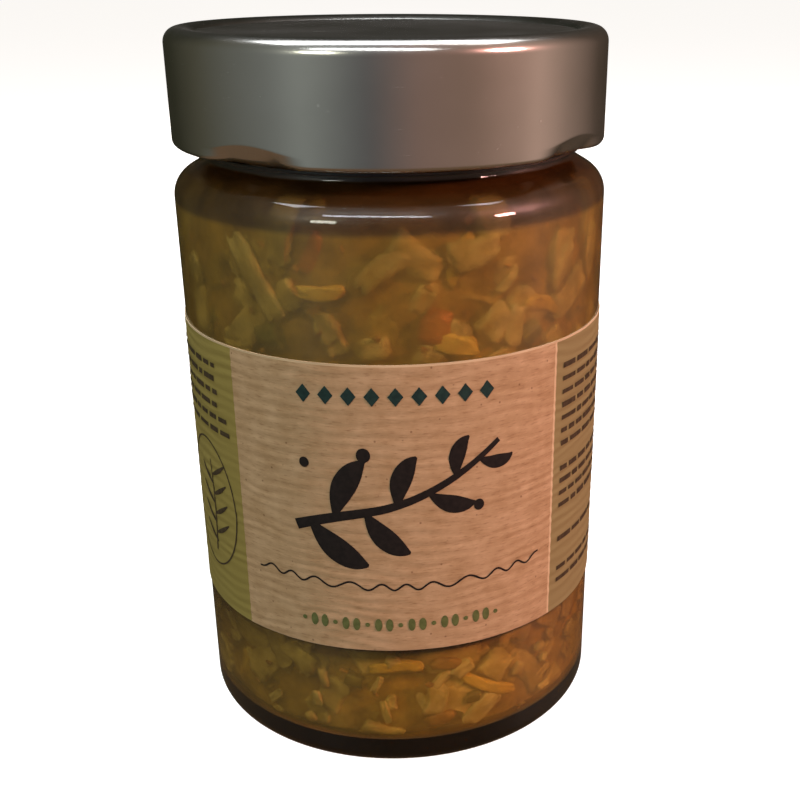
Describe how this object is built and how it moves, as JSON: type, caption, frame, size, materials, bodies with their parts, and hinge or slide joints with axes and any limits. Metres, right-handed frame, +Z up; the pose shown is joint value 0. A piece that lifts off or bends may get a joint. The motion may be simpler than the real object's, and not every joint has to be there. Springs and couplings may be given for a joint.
{
  "type": "kimchi jar",
  "caption": "Shut straight glass jar of kimchi with a deep silver twist-off lid and a kraft paper label band round the front and sides.",
  "frame": {"origin": "middle of the jar's base, on the surface it stands on", "axes": "+Z up along the jar's axis; the label's front faces -Y; +X is to the right of someone looking at the front"},
  "size_m": [0.0754, 0.0749, 0.1227],
  "materials": {
    "glass": "clear pressed soda-lime glass",
    "lid_metal": "satin silver lacquered tinplate",
    "label_paper": "ribbed kraft paper, matt",
    "kimchi": "wet, soft pickled cabbage in cloudy brine"
  },
  "bodies": {
    "root": {"glass_jar": "glass", "lid": "lid_metal", "label": "label_paper", "kimchi": "kimchi"}
  },
  "joints": []
}
